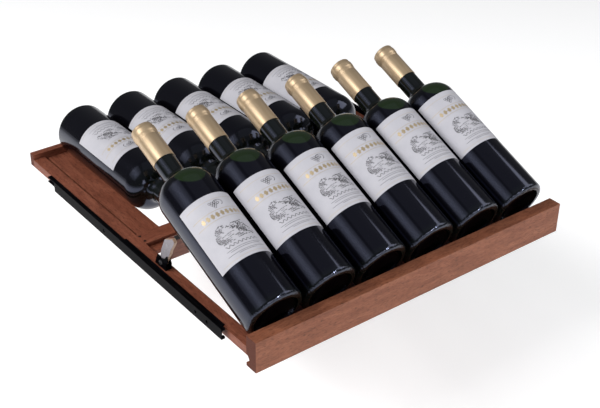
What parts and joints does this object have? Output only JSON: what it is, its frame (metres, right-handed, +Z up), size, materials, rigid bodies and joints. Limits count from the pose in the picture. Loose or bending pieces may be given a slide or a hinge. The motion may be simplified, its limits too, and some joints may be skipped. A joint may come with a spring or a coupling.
{
  "type": "wine cooler shelf",
  "caption": "Pull-out wooden wine shelf on two ball-bearing slides, with a folding display bar, a front row of tilted corked bottles and a back row of bottles lying neck forward.",
  "frame": {"origin": "Under the middle of the closed shelf, at the height of the front board's lower edge.", "axes": "+X to the right seen from the front, +Y into the cabinet, +Z up; the front board faces -Y."},
  "size_m": [0.488, 0.565, 0.1703],
  "materials": {
    "stained_wood": "satin stain",
    "raw_wood": "plain",
    "black_steel": "black semi-gloss",
    "cage_steel": "plain",
    "ball_chrome": "polished",
    "screw_steel": "plain",
    "grey_plastic": "matte",
    "rest_rubber": "matte",
    "dark_glass": "glossy",
    "label_paper": "uncoated paper",
    "label_ink": "printed ink",
    "gold_foil": "satin champagne foil"
  },
  "bodies": {
    "cabinet": {"cabinet_member_left": "black_steel", "cabinet_member_right": "black_steel"},
    "shelf": {"front_board": "stained_wood", "side_rail_left": "stained_wood", "side_rail_right": "stained_wood", "back_rail": "stained_wood", "middle_crossbar": "stained_wood", "middle_batten": "stained_wood", "front_crossbar": "stained_wood", "bottle_stop": "stained_wood", "slat_1": "stained_wood", "slat_2": "stained_wood", "slat_3": "stained_wood", "slat_4": "stained_wood", "slat_5": "stained_wood", "slat_6": "stained_wood", "frame_dowels": "raw_wood", "slat_dowels": "raw_wood", "frame_screws": "screw_steel", "slide_screws": "screw_steel", "bracket_screws": "screw_steel", "runner_left": "black_steel", "runner_right": "black_steel", "bracket_left": "black_steel", "bracket_right": "black_steel", "pivot_pin_left": "screw_steel", "pivot_pin_right": "screw_steel"},
    "cage_left": {"ball_cage_left": "cage_steel", "balls_left": "ball_chrome"},
    "cage_right": {"ball_cage_right": "cage_steel", "balls_right": "ball_chrome"},
    "display_bar_body": {"display_bar": "stained_wood", "bar_pad": "rest_rubber", "bar_arm_left": "grey_plastic", "bar_arm_right": "grey_plastic", "arm_screws": "screw_steel"},
    "bottle_front_1_body": {"bottle_front_1": "dark_glass", "capsule_front_1": "gold_foil"},
    "bottle_front_2_body": {"bottle_front_2": "dark_glass", "capsule_front_2": "gold_foil"},
    "bottle_front_3_body": {"bottle_front_3": "dark_glass", "capsule_front_3": "gold_foil"},
    "bottle_front_4_body": {"bottle_front_4": "dark_glass", "capsule_front_4": "gold_foil"},
    "bottle_front_5_body": {"bottle_front_5": "dark_glass", "capsule_front_5": "gold_foil"},
    "bottle_front_6_body": {"bottle_front_6": "dark_glass", "capsule_front_6": "gold_foil"},
    "bottle_back_1_body": {"bottle_back_1": "dark_glass", "capsule_back_1": "gold_foil"},
    "bottle_back_2_body": {"bottle_back_2": "dark_glass", "capsule_back_2": "gold_foil"},
    "bottle_back_3_body": {"bottle_back_3": "dark_glass", "capsule_back_3": "gold_foil"},
    "bottle_back_4_body": {"bottle_back_4": "dark_glass", "capsule_back_4": "gold_foil"},
    "bottle_back_5_body": {"bottle_back_5": "dark_glass", "capsule_back_5": "gold_foil"}
  },
  "joints": [
    {"name": "shelf_slide", "type": "slide", "parent": "cabinet", "child": "shelf", "axis": [0, -1, 0], "range_m": [0, 0.28]},
    {"name": "cage_left_roll", "type": "slide", "parent": "cabinet", "child": "cage_left", "axis": [0, -1, 0], "range_m": [0, 0.14]},
    {"name": "cage_right_roll", "type": "slide", "parent": "cabinet", "child": "cage_right", "axis": [0, -1, 0], "range_m": [0, 0.14]},
    {"name": "display_bar_fold", "type": "hinge", "parent": "shelf", "child": "display_bar_body", "pos_m": [0, -0.0635, 0.022], "axis": [1, 0, 0], "range_deg": [0, 62.5]},
    {"name": "bottle_front_1_lift", "type": "slide", "parent": "shelf", "child": "bottle_front_1_body", "axis": [0, -0.3811, 0.9245], "range_m": [0, 0.12]},
    {"name": "bottle_front_2_lift", "type": "slide", "parent": "shelf", "child": "bottle_front_2_body", "axis": [0, -0.3811, 0.9245], "range_m": [0, 0.12]},
    {"name": "bottle_front_3_lift", "type": "slide", "parent": "shelf", "child": "bottle_front_3_body", "axis": [0, -0.3811, 0.9245], "range_m": [0, 0.12]},
    {"name": "bottle_front_4_lift", "type": "slide", "parent": "shelf", "child": "bottle_front_4_body", "axis": [0, -0.3811, 0.9245], "range_m": [0, 0.12]},
    {"name": "bottle_front_5_lift", "type": "slide", "parent": "shelf", "child": "bottle_front_5_body", "axis": [0, -0.3811, 0.9245], "range_m": [0, 0.12]},
    {"name": "bottle_front_6_lift", "type": "slide", "parent": "shelf", "child": "bottle_front_6_body", "axis": [0, -0.3811, 0.9245], "range_m": [0, 0.12]},
    {"name": "bottle_back_1_lift", "type": "slide", "parent": "shelf", "child": "bottle_back_1_body", "axis": [0, 0, 1], "range_m": [0, 0.12]},
    {"name": "bottle_back_2_lift", "type": "slide", "parent": "shelf", "child": "bottle_back_2_body", "axis": [0, 0, 1], "range_m": [0, 0.12]},
    {"name": "bottle_back_3_lift", "type": "slide", "parent": "shelf", "child": "bottle_back_3_body", "axis": [0, 0, 1], "range_m": [0, 0.12]},
    {"name": "bottle_back_4_lift", "type": "slide", "parent": "shelf", "child": "bottle_back_4_body", "axis": [0, 0, 1], "range_m": [0, 0.12]},
    {"name": "bottle_back_5_lift", "type": "slide", "parent": "shelf", "child": "bottle_back_5_body", "axis": [0, 0, 1], "range_m": [0, 0.12]}
  ],
  "couplings": [
    {"joint": "cage_left_roll", "follows": "shelf_slide", "ratio": 0.5},
    {"joint": "cage_right_roll", "follows": "shelf_slide", "ratio": 0.5}
  ]
}
